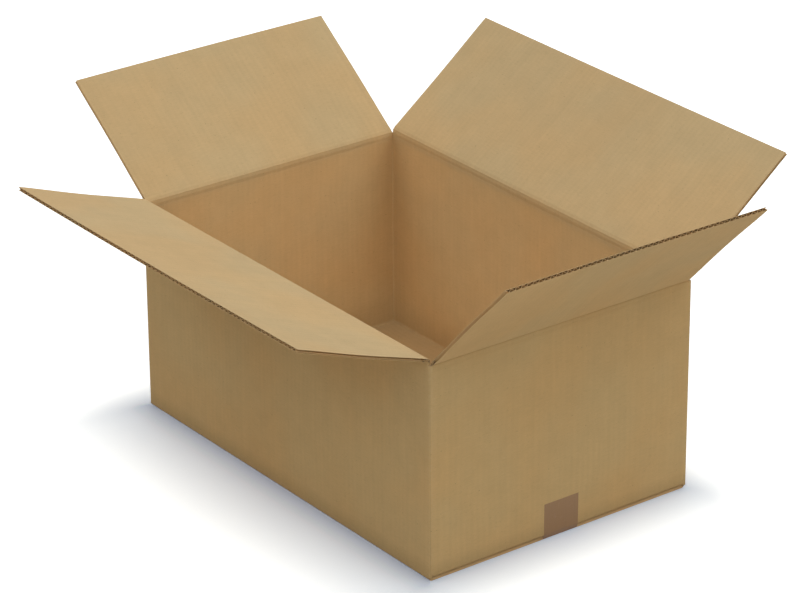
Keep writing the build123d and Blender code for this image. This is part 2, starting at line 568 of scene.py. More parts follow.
def applied(piece: bpy.types.Object) -> bpy.types.Mesh:
    """Work a piece's modifiers into a new plain mesh and take them off the piece.

    Args:
        piece: The piece.

    Returns:
        The new mesh.
    """
    depsgraph = bpy.context.evaluated_depsgraph_get()
    mesh = bpy.data.meshes.new_from_object(piece.evaluated_get(depsgraph), depsgraph=depsgraph)
    piece.modifiers.clear()
    return mesh


def shade(mesh: bpy.types.Mesh, degrees: float = 32.0) -> None:
    """Shade a mesh smooth, keeping edges sharper than an angle."""
    mesh.shade_smooth()
    mesh.set_sharp_from_angle(angle=math.radians(degrees))


def write_points(mesh: bpy.types.Mesh, points: np.ndarray) -> None:
    """Move every vertex of a mesh to new points."""
    mesh.vertices.foreach_set("co", points.astype(np.float32).ravel())
    mesh.update()


def read_points(mesh: bpy.types.Mesh) -> np.ndarray:
    """Read every vertex of a mesh.

    Args:
        mesh: The mesh.

    Returns:
        Rows of X, Y and Z.
    """
    points = np.zeros(len(mesh.vertices) * 3, np.float32)
    mesh.vertices.foreach_get("co", points)
    return points.reshape(-1, 3).astype(float)


def write_map(mesh: bpy.types.Mesh, plane: np.ndarray) -> None:
    """Give a mesh its sheet map from one pair of metres for each vertex.

    Args:
        mesh: The mesh.
        plane: Rows of metres across and along the flutes.
    """
    layer = mesh.uv_layers.new(name="sheet")
    corner = np.zeros(len(mesh.loops), np.int32)
    mesh.loops.foreach_get("vertex_index", corner)
    layer.data.foreach_set("uv", plane[corner].astype(np.float32).ravel())


def write_share(mesh: bpy.types.Mesh, name: str, share: np.ndarray) -> None:
    """Store a named share from 0 to 1, such as wear or soil, for each vertex."""
    attribute = mesh.attributes.new(name, "FLOAT", "POINT")
    attribute.data.foreach_set("value", np.clip(share, 0.0, 1.0).astype(np.float32))


def smoothstep(value: np.ndarray | float, low: float, high: float) -> np.ndarray:
    """Rise smoothly from 0 at low to 1 at high."""
    share = np.clip((np.asarray(value, float) - low) / (high - low), 0.0, 1.0)
    return share * share * (3.0 - 2.0 * share)


@dataclass(frozen=True)
class WallWarp:
    """The slight bow and waviness of standing board, the same for everything on the walls."""

    length: float
    width: float
    height: float
    bow: float = 0.9 * MM
    ripple: float = 0.25 * MM
    ripple_turns: tuple[float, float, float] = (21.0, 3.0, 5.0)
    long_onset: tuple[float, float] = (0.46, 0.49)
    short_onset: tuple[float, float] = (0.47, 0.493)

    @property
    def half(self) -> tuple[float, float]:
        """Half the carton's length and half its width."""
        return self.length / 2, self.width / 2

    def moved(self, points: np.ndarray) -> np.ndarray:
        """Bow the walls outward a little, leaving the folds and the underside where they are.

        Args:
            points: Rows of X, Y and Z.

        Returns:
            The moved rows.
        """
        x, y, z = points.T
        upright = np.sin(math.pi * np.clip(z / self.height, 0.0, 1.0))
        along = np.cos(math.pi * np.clip(x / self.length, -0.5, 0.5))
        across = np.cos(math.pi * np.clip(y / self.width, -0.5, 0.5))
        start, full = self.long_onset
        long_wall = smoothstep(np.abs(y), start * self.width, full * self.width) * np.sign(y)
        start, full = self.short_onset
        short_wall = smoothstep(np.abs(x), start * self.length, full * self.length) * np.sign(x)
        turns = self.ripple_turns
        wave = self.ripple * np.sin(x * turns[0] + y * turns[1] + z * turns[2]) * upright
        out = points.copy()
        out[:, 1] += long_wall * along * (self.bow * upright + wave)
        out[:, 0] += short_wall * across * (self.bow * upright - wave)
        return out


@dataclass
class FoldedWalls:
    """Walls, glue tab and closed bottom: the part of the sheet that doesn't move."""

    node: bpy.types.Object
    papers: Papers
    board: Board
    warp: WallWarp
    short_flap_end: float
    cell: float = 24.0 * MM
    groove: float = 0.9 * MM
    flap_gap: float = 2.0 * MM

    def build(self) -> bpy.types.Object:
        """Make the walls from the frame's own solid, cut fine enough to bow, and dress them.

        Returns:
            The finished piece.
        """
        form = bmesh.new()
        form.from_mesh(self.node.data)
        bmesh.ops.remove_doubles(form, verts=form.verts, dist=0.002 * MM)
        bmesh.ops.dissolve_limit(form, angle_limit=math.radians(0.5), verts=form.verts, edges=form.edges)
        for normal, places in zip(Matrix.Identity(3), self.cuts()):
            for place in places:
                whole = form.verts[:] + form.edges[:] + form.faces[:]
                point = normal * place
                bmesh.ops.bisect_plane(form, geom=whole, plane_co=point, plane_no=normal, dist=0.001 * MM)
        self.open_ends(form)
        bmesh.ops.triangulate(form, faces=form.faces)
        mesh = bpy.data.meshes.new("folded_walls")
        form.to_mesh(mesh)
        form.free()
        mesh.materials.clear()
        self.papers.put_on(mesh)
        self.dress(mesh)
        write_points(mesh, self.warp.moved(read_points(mesh)))
        shade(mesh)
        piece = add_object("folded_walls", mesh)
        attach(piece, BODY)
        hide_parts(self.node.name)
        return piece

    def cuts(self) -> list[list[float]]:
        """Choose the places along X, Y and Z where the faces are cut.

        Returns:
            One sorted list for each axis.
        """
        planes = []
        for size in (self.warp.length, self.warp.width):
            steps = round(size / self.cell)
            inner = [size * (i / steps - 0.5) for i in range(1, steps)]
            edge = [sign * (size / 2 - inset) for sign in (-1, 1) for inset in (6 * MM, 10 * MM)]
            planes.append(sorted(inner + edge))
        steps = round(self.warp.height / self.cell)
        rise = [self.warp.height * i / steps for i in range(1, steps)]
        planes.append(sorted(rise + [12 * MM, self.warp.height - 14 * MM]))
        return planes

    def open_ends(self, form: bmesh.types.BMesh) -> None:
        """Sink the paper at the long bottom flaps' ends and draw back the short ones' free edges.

        Args:
            form: The walls, cut into cells.
        """
        wall, end = self.board.thickness, self.warp.length / 2
        for side in (-1, 1):
            faces = []
            for face in form.faces:
                centre = face.calc_center_median()
                at_end = end - 3 * MM < abs(centre.x) < end - MM and centre.z < wall
                if at_end and abs(face.normal.x) > 0.9 and centre.y * side > 0:
                    faces.append(face)
            bmesh.ops.inset_region(
                form, faces=faces, thickness=self.board.paper, depth=-self.groove, use_even_offset=True
            )
        for vert in form.verts:
            on_edge = abs(abs(vert.co.x) - self.short_flap_end) < 0.01 * MM
            if on_edge and wall + 0.1 * MM < vert.co.z < 2.2 * wall:
                vert.co.x += math.copysign(FluteEdge.reach, vert.co.x)

    def dress(self, mesh: bpy.types.Mesh) -> None:
        """Tell the faces apart, map the sheet onto each and say where the board is rubbed and where shade
        is painted.

        Args:
            mesh: The walls before they are bowed.
        """
        layer = mesh.uv_layers.new(name="sheet")
        for face in mesh.polygons:
            face.material_index = self.kind(face.center, face.normal).value
            for corner in face.loop_indices:
                point = mesh.vertices[mesh.loops[corner].vertex_index].co
                layer.data[corner].uv = self.spot(face.center, face.normal, point)
        points = read_points(mesh)
        past_wall, low = np.abs(points[:, :2]) - self.warp.half, -points[:, 2]
        folds = smoothstep(past_wall, -9 * MM, -1 * MM)
        foot = smoothstep(low, -9 * MM, -1 * MM)
        write_share(mesh, "wear", np.maximum(folds.prod(axis=1), foot * folds.max(axis=1)))
        # Painted shade: darker at the foot of the outer walls and towards the inner floor and inner
        # corners, where shade falls
        outer = past_wall.max(axis=1) > -0.8 * MM
        foot_shade = outer * smoothstep(low, -26 * MM, -1 * MM)
        inner_floor_shade = smoothstep(low, -60 * MM, -8 * MM)
        inner_corner_shade = 0.6 * smoothstep(past_wall, -60 * MM, -5 * MM).prod(axis=1)
        inner_shade = ~outer * (low < -MM) * np.maximum(inner_floor_shade, inner_corner_shade)
        write_share(mesh, "painted_shade", foot_shade + inner_shade)

    def spot(self, centre: Vector, normal: Vector, point: Vector) -> tuple[float, float]:
        """Where a point lies on the sheet: metres across the flutes and along them from the top fold.

        Args:
            centre: Centre of the point's face.
            normal: Normal of the point's face.
            point: The point.

        Returns:
            The pair of metres.
        """
        half_l, half_w = self.warp.half
        level = abs(normal.z) > max(abs(normal.x), abs(normal.y))
        inner_layer = level and normal.z > 0 and centre.z > 1.5 * self.board.thickness
        if inner_layer or (not level and abs(normal.x) > abs(normal.y)):
            run = abs(point.x) - half_l if level else point.z
            return (-math.copysign(1.0, centre.x) * point.y, run - self.warp.height)
        run = abs(point.y) - half_w if level else point.z
        return (math.copysign(1.0, centre.y) * point.x, run - self.warp.height)

    def kind(self, centre: Vector, normal: Vector) -> Face:
        """What a face of the solid shows.

        Args:
            centre: The face's centre.
            normal: The face's normal.

        Returns:
            The kind of face.
        """
        half_l, half_w = self.warp.half
        wall = self.board.thickness
        x, z = abs(centre.x), centre.z
        if z < wall and half_l - 5 * MM < x < half_l - MM and abs(normal.z) < 0.9:
            sunk = x < half_l - self.flap_gap - 0.2 * self.groove
            return Face.FLUTED if sunk and abs(centre.y) < half_w - 0.5 * wall else Face.CUT
        # Painted shade: end faces low in the bottom's layers, behind the open flutes, take the dark paper
        if z < 2.3 * wall and abs(normal.x) > 0.9 and x < half_l / 2:
            return Face.HOLLOW
        tab_edge = centre.x > half_l - 2 * wall and abs(normal.x) < 0.5 and z > 3 * wall
        if tab_edge and 0.0 < centre.y < half_w - wall - MM:
            return Face.CUT
        if z > self.warp.height - 12 * MM and normal.z > 0.5:
            return Face.CUT
        within = x < half_l - wall + 0.1 * MM and abs(centre.y) < half_w - wall + 0.1 * MM
        return Face.INSIDE if within and z > wall / 2 else Face.OUTSIDE


@dataclass(frozen=True)
class Hinge:
    """Where one top flap folds: its fold line, its lean at rest and the flap's own directions."""

    side: Side
    line: Vector
    along: Vector
    rise: Vector
    face: Vector
    span: float
    depth: float

    @classmethod
    def read(cls, side: Side, frame: dict) -> Hinge:
        """Work a hinge out from the frame's joint and node.

        Args:
            side: Which flap.

        Returns:
            The hinge, with along, rise and face as the flap's X, Y and Z.
        """
        joint = next(j for j in frame["joints"] if j["name"] == side.hinge)
        axis, line = Vector(joint["axis"]), Vector(joint["pos_m"])
        lean = math.radians(-joint["range_deg"][0] - 90.0)
        along, rise = -axis, axis.cross(UP) * math.sin(lean) + UP * math.cos(lean)
        points = read_points(frame["nodes"][side.value].data) - np.array(line)
        span = float(np.ptp(points @ np.array(along)))
        depth = float((points @ np.array(rise)).max())
        return cls(side, line, along, rise, along.cross(rise), span, depth)

    @property
    def outward(self) -> Vector:
        """Level direction out of the carton, across the wall."""
        return UP.cross(self.along)

    def placed(self, local: np.ndarray) -> np.ndarray:
        """Carry rows given along the fold, up the flap and off its face to the frame's X, Y and Z."""
        return local @ np.array([self.along, self.rise, self.face]) + np.array(self.line)


@dataclass(frozen=True)
class FlapWarp:
    """How a flap has bowed: along its free edge, up its depth and in twist, in metres.

    All three go to the side that the flap's closed neighbour isn't on, so the flaps still close flat.
    """

    edge_bow: float
    depth_bow: float
    twist: float
    inward: bool

    def lift(self, local: np.ndarray, hinge: Hinge) -> np.ndarray:
        """How far each point moves off the flap's plane.

        Args:
            local: Rows along, up and off the flap.
            hinge: The flap's hinge.

        Returns:
            One height for each row.
        """
        place = np.clip(local[:, 0] / hinge.span * 2, -1.0, 1.0)
        up = np.clip(local[:, 1] / hinge.depth, 0.0, 1.0)
        bow = self.edge_bow * (1.0 - place**2) * up**1.5
        camber = self.depth_bow * np.sin(math.pi * up) ** 2
        turned = self.twist * (1.0 + place) * up
        return (bow + camber + turned) * (1.0 if self.inward else -1.0)


def paper_sheet_group() -> bpy.types.NodeTree:
    """Build the group that gives a surface the thickness of paper and closes its rims.

    Returns:
        The geometry node group.
    """
    takes = {"Surface": "Geometry", "Thickness": "Float", "Paper": "Material"}
    graph = Graph.group("paper_sheet", "GeometryNodeTree", takes, {"Sheet": "Geometry"})
    given = graph.add("NodeGroupInput").outputs
    normal = graph.add("GeometryNodeInputNormal").outputs[0]
    down = graph.times(given["Thickness"], -0.5)
    offset = graph.add("ShaderNodeVectorMath", {0: normal, "Scale": down}, operation="SCALE").outputs[0]
    low = graph.add("GeometryNodeSetPosition", {"Geometry": given["Surface"], "Offset": offset}).outputs[0]
    under = graph.add("GeometryNodeFlipFaces", {0: low})
    rise = {0: low, "Offset Scale": given["Thickness"], "Individual": False}
    shell = graph.add("GeometryNodeExtrudeMesh", rise)
    both = graph.add("GeometryNodeJoinGeometry")
    for part in (under, shell):
        graph.tree.links.new(part.outputs[0], both.inputs[0])
    whole = graph.add("GeometryNodeMergeByDistance", {0: both.outputs[0], "Distance": 0.002 * MM})
    dressed = graph.add("GeometryNodeSetMaterial", {0: whole.outputs[0], "Material": given["Paper"]})
    graph.add("NodeGroupOutput", {0: dressed.outputs[0]})
    return graph.tree


def corrugated_group() -> bpy.types.NodeTree:
    """Build the tree that makes a panel of corrugated board: two liners and the fluted paper.

    The panel's fold line is on X and it rises along +Y. Its inside liner is on +Z. Near the fold the
    papers draw together to the crushed thickness.

    Returns:
        The geometry node tree, with a named input for each size.
    """
    sizes = ("Span", "Depth", "Half Thickness", "Crushed Half", "Crush Width", "Paper Thickness")
    takes = dict.fromkeys((*sizes, "Flute Pitch"), "Float")
    takes |= dict.fromkeys(("Liner Columns", "Liner Rows", "Flute Columns", "Flute Rows"), "Int")
    takes |= dict.fromkeys(("Inside Liner", "Outside Liner", "Fluted Paper"), "Material")
    graph = Graph.group("corrugated_panel", "GeometryNodeTree", takes, {"Geometry": "Geometry"})
    given = graph.add("NodeGroupInput").outputs
    sheet_group = paper_sheet_group()

    place = graph.add("GeometryNodeInputPosition").outputs[0]
    along, flat_up, _ = graph.add("ShaderNodeSeparateXYZ", {0: place}).outputs
    up = graph.math("ADD", flat_up, graph.times(given["Depth"], 0.5))
    half = graph.ramp(up, 0.5 * MM, given["Crush Width"], given["Crushed Half"], given["Half Thickness"])
    thickness = given["Paper Thickness"]
    liner_level = graph.math("SUBTRACT", half, graph.times(thickness, 0.5))
    under_liner = graph.times(liner_level, -1.0)
    room = graph.math("SUBTRACT", half, graph.times(thickness, 1.4))
    turn = graph.times(graph.math("DIVIDE", along, given["Flute Pitch"]), math.tau)
    flute_level = graph.times(room, graph.math("SINE", turn))

    join = graph.add("GeometryNodeJoinGeometry")
    for level, kind, paper in (
        (liner_level, "Liner", "Inside Liner"),
        (under_liner, "Liner", "Outside Liner"),
        (flute_level, "Flute", "Fluted Paper"),
    ):
        counts = {"Vertices X": given[f"{kind} Columns"], "Vertices Y": given[f"{kind} Rows"]}
        extent = {"Size X": given["Span"], "Size Y": given["Depth"]}
        grid = graph.add("GeometryNodeMeshGrid", extent | counts)
        spot = graph.add("ShaderNodeCombineXYZ", {0: along, 1: up, 2: level}).outputs[0]
        surface = graph.add("GeometryNodeSetPosition", {"Geometry": grid.outputs[0], "Position": spot})
        inputs = {"Surface": surface.outputs[0], "Thickness": thickness, "Paper": given[paper]}
        sheet = graph.add("GeometryNodeGroup", inputs, node_tree=sheet_group)
        graph.tree.links.new(sheet.outputs[0], join.inputs[0])
    real = graph.add("GeometryNodeRealizeInstances", {0: join.outputs[0]})
    graph.add("NodeGroupOutput", {0: real.outputs[0]})
    return graph.tree


@dataclass(frozen=True)
class Panel:
    """What every panel of open flutes is made with: the board, its papers and the geometry tree."""

    board: Board
    papers: Papers
    tree: bpy.types.NodeTree

    def baked(self, name: str, sizes: dict[str, object]) -> bpy.types.Mesh:
        """Run the tree and keep its result as a plain mesh.

        Args:
            name: Name of the mesh.
            sizes: The panel's own sizes and counts by input name, and what differs from the board's.

        Returns:
            The mesh, with its materials.
        """
        board, papers = self.board, self.papers
        values = {
            "Half Thickness": board.half,
            "Crushed Half": board.crushed / 2,
            "Crush Width": board.crush_width,
            "Paper Thickness": board.paper,
            "Flute Pitch": board.pitch,
            "Inside Liner": papers.inside,
            "Outside Liner": papers.outside,
            "Fluted Paper": papers.fluted,
            **sizes,
        }
        carrier = add_object(f"{name}_carrier", bpy.data.meshes.new(f"{name}_empty"))
        modifier = carrier.modifiers.new("panel", "NODES")
        modifier.node_group = self.tree
        for item in self.tree.interface.items_tree:
            if item.item_type == "SOCKET" and item.in_out == "INPUT":
                modifier[item.identifier] = values[item.name]
        mesh = applied(carrier)
        mesh.name = name
        bpy.data.objects.remove(carrier)
        return mesh


@dataclass
class TopFlap:
    """One top flap: two liners on the fluted paper, open at its cut edges."""

    hinge: Hinge
    panel: Panel
    warp: FlapWarp
    liner_cell: float = 6.0 * MM
    flute_steps: int = 10
    flute_rows: int = 10
    side_gap: float = 0.1 * MM
    rubbed_rim: float = 7.0 * MM

    def build(self) -> bpy.types.Object:
        """Make the flap in its own plane, bow it and stand it on its fold line.

        Returns:
            The finished piece.
        """
        hinge = self.hinge
        name = f"{hinge.side.value}_board"
        sizes = {
            "Span": hinge.span - 2 * self.side_gap,
            "Depth": hinge.depth,
            "Liner Columns": round(hinge.span / self.liner_cell),
            "Liner Rows": round(hinge.depth / self.liner_cell) * 2,
            "Flute Columns": round(hinge.span / self.panel.board.pitch * self.flute_steps),
            "Flute Rows": self.flute_rows,
        }
        mesh = self.panel.baked(name, sizes)
        local = read_points(mesh)
        write_map(mesh, local[:, :2])
        write_share(mesh, "wear", self.wear(local))
        local[:, 2] += self.warp.lift(local, hinge)
        write_points(mesh, hinge.placed(local))
        shade(mesh, 40.0)
        piece = add_object(name, mesh)
        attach(piece, hinge.side.value)
        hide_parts(hinge.side.value)
        return piece

    def wear(self, local: np.ndarray) -> np.ndarray:
        """How rubbed each point of the flap is, most at its free edge and outer corners.

        Args:
            local: Rows along, up and off the flap.

        Returns:
            One share for each row.
        """
        edge, depth = self.hinge.span / 2, self.hinge.depth
        side = smoothstep(np.abs(local[:, 0]), edge - self.rubbed_rim, edge)
        free = smoothstep(local[:, 1], depth - self.rubbed_rim, depth)
        return np.maximum(0.5 * side, np.maximum(0.7 * free, side * free))


@dataclass
class Crease:
    """The scored strip on a fold line, bent to its flap's lean at rest."""

    hinge: Hinge
    papers: Papers
    board: Board
    reach: float = 8.5 * MM
    proud: float = 0.03 * MM
    dive: float = 0.14 * MM
    groove: float = 0.62 * MM
    groove_width: float = 3.4 * MM
    valley: float = 0.8
    pinch: float = 0.06 * MM
    pinch_width: float = 2.5 * MM
    overhang: float = 0.08 * MM
    recess: float = 0.9 * MM
    bend_reach: float = 1.1 * MM
    rows: tuple[float, ...] = (1.0, 0.88, 0.76, 0.64, 0.52, 0.40, 0.30, 0.20, 0.12)
    bend_rows: int = 7
    steps_per_flute: int = 6

    def half_at(self, distance: float) -> float:
        """Give half the strip's thickness at a distance from the fold line.

        Args:
            distance: Metres from the fold line.

        Returns:
            The half thickness in metres.
        """
        deep = 1.0 - float(smoothstep(distance, 0.2 * MM, self.groove_width))
        sunk = float(smoothstep(distance, 0.68 * self.reach, self.reach))
        return self.board.half + self.proud - self.groove * deep - self.dive * sunk

    def section(self) -> np.ndarray:
        """The strip's closed outline across the fold, up its inside face and back down its outside.

        Returns:
            Rows of metres out of the carton and up from the fold line, the place along the sheet,
            whether the row is on the inside face, and the direction into the board.
        """
        lean = math.atan2(self.hinge.rise.dot(self.hinge.outward), self.hinge.rise.z)
        distances = [self.reach * share for share in self.rows]
        inside, outside = [], []

        def lay(on_inside: bool, turn: float, rise: float, half: float, run: float) -> None:
            """Add a row that stands rise up a board leaning by turn, and half off its middle."""
            side = 1.0 if on_inside else -1.0
            off = (-math.cos(turn) * side, math.sin(turn) * side)
            x, y = math.sin(turn) * rise + off[0] * half, math.cos(turn) * rise + off[1] * half
            (inside if on_inside else outside).append((x, y, run, float(on_inside), -off[0], -off[1]))

        for distance in distances:
            for on_inside in (True, False):
                lay(on_inside, 0.0, -distance, self.half_at(distance), -distance)
        half = self.half_at(0.0)
        for step in range(self.bend_rows):
            share = step / (self.bend_rows - 1)
            lay(True, lean * share, 0.0, half, (share - 0.5) * MM)
        lay(False, lean / 2, 0.0, half * self.valley, 0.0)
        for distance in reversed(distances):
            for on_inside in (True, False):
                lay(on_inside, lean, distance, self.half_at(distance), distance)
        return np.array(inside + outside[::-1])

    def build(self) -> bpy.types.Object:
        """Sweep the section along the fold line, pinched at each flute.

        Returns:
            The finished piece.
        """
        hinge = self.hinge
        name = f"{hinge.side.hinge}_strip"
        section = self.section()
        ring = len(section)
        span = hinge.span + 2 * self.overhang
        count = round(span / self.board.pitch * self.steps_per_flute)
        near = np.exp(-((np.hypot(section[:, 0], section[:, 1]) / self.pinch_width) ** 2))
        rows, plane, faces, kinds = [], [], [], []

        def add_ring(station: float, inset: float = 0.0) -> None:
            """Lay one outline across the strip, drawn into the board by inset."""
            squeeze = self.pinch / self.board.half * math.sin(math.tau * station / self.board.pitch)
            flat = section[:, :2] * (1.0 + squeeze * near)[:, None] + section[:, 4:6] * inset
            rows.append(np.column_stack([np.full(ring, station), flat]))
            plane.append(np.column_stack([np.full(ring, station), section[:, 2]]))

        def join(first: int, second: int, kind: Face | None = None) -> None:
            """Face the gap between two outlines, by their number."""
            for b in range(ring):
                c = (b + 1) % ring
                faces.append((first * ring + b, first * ring + c, second * ring + c, second * ring + b))
                on_inside = section[b, 3] > 0.5 and section[c, 3] > 0.5
                kinds.append(kind or (Face.INSIDE if on_inside else Face.OUTSIDE))

        for station in np.linspace(-span / 2, span / 2, count + 1):
            add_ring(float(station))
        for index in range(count):
            join(index, index + 1)
        for end, inward in ((0, 1.0), (count, -1.0)):
            station = float(rows[end][0, 0])
            add_ring(station, self.board.paper)
            add_ring(station + inward * self.recess, self.board.paper)
            join(end, len(rows) - 2, Face.CUT)
            join(len(rows) - 2, len(rows) - 1, Face.CUT)
            # Painted shade: the recessed end face of the strip takes the dark paper
            faces.append(tuple(range((len(rows) - 1) * ring, len(rows) * ring)))
            kinds.append(Face.HOLLOW)

        axes = np.array([hinge.along, hinge.outward, UP])
        mesh = bpy.data.meshes.new(name)
        mesh.from_pydata((np.concatenate(rows) @ axes + np.array(hinge.line)).tolist(), [], faces)
        self.papers.put_on(mesh)
        mesh.polygons.foreach_set("material_index", [kind.value for kind in kinds])
        write_map(mesh, np.concatenate(plane))
        write_share(mesh, "wear", np.tile(near * 0.3, len(rows)))
        form = bmesh.new()
        form.from_mesh(mesh)
        bmesh.ops.triangulate(form, faces=[face for face in form.faces if len(face.verts) > 4])
        bmesh.ops.recalc_face_normals(form, faces=form.faces)
        if form.calc_volume(signed=True) < 0:
            bmesh.ops.reverse_faces(form, faces=form.faces)
        form.to_mesh(mesh)
        form.free()
        shade(mesh, 50.0)
        piece = add_object(name, mesh)
        start, end = hinge.line - UP * self.bend_reach, hinge.line + hinge.rise * self.bend_reach
        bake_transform(piece)
        return piece


@dataclass
class FluteEdge:
    """The open flutes along the free edge of a short bottom flap, seen inside the carton."""

    panel: Panel
    side: int
    place: float
    level: float
    span: float
    reach: float = 2.6 * MM
    liner_cell: float = 8.0 * MM
    flute_steps: int = 10

    def build(self) -> bpy.types.Object:
        """Make the strip of board and lay it against the drawn-back edge.

        Returns:
            The finished piece.
        """
        name = f"bottom_flap_edge_{'right' if self.side > 0 else 'left'}"
        board = self.panel.board
        sizes = {
            "Span": self.span,
            "Depth": self.reach,
            "Crushed Half": board.half,
            "Liner Columns": round(self.span / self.liner_cell),
            "Liner Rows": 2,
            "Flute Columns": round(self.span / board.pitch * self.flute_steps),
            "Flute Rows": 2,
            "Outside Liner": self.panel.papers.inside,
        }
        mesh = self.panel.baked(name, sizes)
        local = read_points(mesh)
        start = self.place + self.reach
        write_map(mesh, np.column_stack([-local[:, 0], start - local[:, 1]]))
        write_share(mesh, "wear", smoothstep(local[:, 1], 0.0, self.reach) * 0.5)
        axes = np.array([(0.0, self.side, 0.0), (-self.side, 0.0, 0.0), (0.0, 0.0, 1.0)])
        write_points(mesh, local @ axes + np.array([self.side * start, 0.0, self.level]))
        shade(mesh, 40.0)
        piece = add_object(name, mesh)
        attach(piece, BODY)
        return piece


@dataclass
class BottomTape:
    """The strip of tape along the bottom seam and up both end walls."""

    node: bpy.types.Object
    finish: bpy.types.Material
    warp: WallWarp
    columns: int = 50
    step: float = 3.0 * MM
    tooth: float = 2.0 * MM
    tooth_depth: float = 0.8 * MM
    film: float = 0.07 * MM
    lift: float = 0.06 * MM
    under: float = 0.13 * MM
    touch: float = 6.4 * MM

    def centre_line(self) -> list[tuple[float, float]]:
        """Draw the strip's inner face in the XZ plane, from one end of the tape to the other.

        Returns:
            Pairs of X and Z.
        """
        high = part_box(self.node.name)[1]
        wall, touch = self.warp.length / 2 + self.lift, self.touch
        end = self.warp.length / 2 - FoldedWalls.flap_gap
        half = [(0.0, self.under), (end - 0.7 * MM, self.under), (end - 0.1 * MM, 0.24 * MM)]
        half += [(end + 0.3 * MM, 0.75 * MM), (wall - 0.35 * MM, touch - 1.2 * MM)]
        half += [(wall - 0.1 * MM, touch - 0.3 * MM), (wall, touch + 0.5 * MM), (wall, high.z)]
        return [(-x, z) for x, z in reversed(half)] + half[1:]

    def build(self) -> bpy.types.Object:
        """Lay the film along its line, cut its ends with fine teeth and set it on the board.

        Returns:
            The finished piece.
        """
        low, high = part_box(self.node.name)
        line = self.centre_line()
        lengths = [0.0]
        for (x0, z0), (x1, z1) in zip(line, line[1:]):
            lengths.append(lengths[-1] + math.hypot(x1 - x0, z1 - z0))
        rows = sorted({*lengths, *np.arange(0.0, lengths[-1], self.step).tolist()})
        rows = [r for i, r in enumerate(rows) if i == 0 or r - rows[i - 1] > 0.05 * MM]
        across = np.linspace(low.y, high.y, self.columns + 1)
        line_x, line_z = zip(*line)
        plane = []
        for row in rows:
            inward = (row == rows[0]) - (row == rows[-1])
            for y in across:
                bite = self.tooth_depth * abs((y / self.tooth) % 1.0 * 2.0 - 1.0)
                plane.append((y, row + inward * bite))
        plane = np.array(plane)
        laid = [np.interp(plane[:, 1], lengths, values) for values in (line_x, line_z)]
        points = np.column_stack([laid[0], plane[:, 0], laid[1]])
        width = len(across)
        faces = [
            (a * width + b, (a + 1) * width + b, (a + 1) * width + b + 1, a * width + b + 1)
            for a in range(len(rows) - 1)
            for b in range(width - 1)
        ]
        mesh = bpy.data.meshes.new("bottom_tape_film")
        mesh.from_pydata(points.tolist(), [], faces)
        write_map(mesh, plane)
        write_points(mesh, self.warp.moved(read_points(mesh)))
        mesh.materials.append(self.finish)
        piece = add_object("bottom_tape_film", mesh)
        solid = piece.modifiers.new("film", "SOLIDIFY")
        solid.thickness = self.film
        solid.offset = 1.0
        piece.data = applied(piece)
        shade(piece.data, 40.0)
        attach(piece, BODY)
        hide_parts(self.node.name)
        return piece


@dataclass(frozen=True)
class Camera:
    """The photograph's camera, fitted to the carton's own edges."""

    place: tuple[float, float, float] = (3.24465, -2.43746, 2.05723)
    azimuth: float = 53.261
    elevation: float = 24.634
    roll: float = 0.37
    focal_pixels: float = 3783.1
    frame_pixels: float = 800.0
    sensor: float = 36.0

    def build(self) -> None:
        """Place the camera and make it the scene's own."""
        turn, rise, roll = (math.radians(a) for a in (self.azimuth, self.elevation, self.roll))
        back = Vector((math.sin(turn) * math.cos(rise), -math.cos(turn) * math.cos(rise), math.sin(rise)))
        right = Vector((math.cos(turn), math.sin(turn), 0.0))
        above = back.cross(right)
        tilted_right = right * math.cos(roll) - above * math.sin(roll)
        tilted_up = right * math.sin(roll) + above * math.cos(roll)
        data = bpy.data.cameras.new("photo_camera")
        data.sensor_width = self.sensor
        data.lens = self.focal_pixels / self.frame_pixels * self.sensor
        data.clip_end = 50.0
        made = bpy.data.objects.new("photo_camera", data)
        axes = Matrix((tilted_right, tilted_up, back)).transposed()
        made.matrix_world = Matrix.Translation(self.place) @ axes.to_4x4()
        bpy.context.scene.collection.objects.link(made)
        bpy.context.scene.camera = made


@dataclass(frozen=True)
class AreaLamp:
    """One lamp with a plain face, which shines straight down until it is turned."""

    name: str
    shape: str
    sides: tuple[float, float]
    power: float
    colour: Colour
    place: tuple[float, float, float]

    def build(self) -> bpy.types.Object:
        """Make the lamp.

        Returns:
            The lamp's object.
        """
        lamp = bpy.data.lights.new(self.name, "AREA")
        lamp.shape = self.shape
        lamp.size, lamp.size_y = self.sides
        lamp.energy = self.power
        lamp.color = self.colour
        made = bpy.data.objects.new(self.name, lamp)
        made.location = self.place
        bpy.context.scene.collection.objects.link(made)
        return made


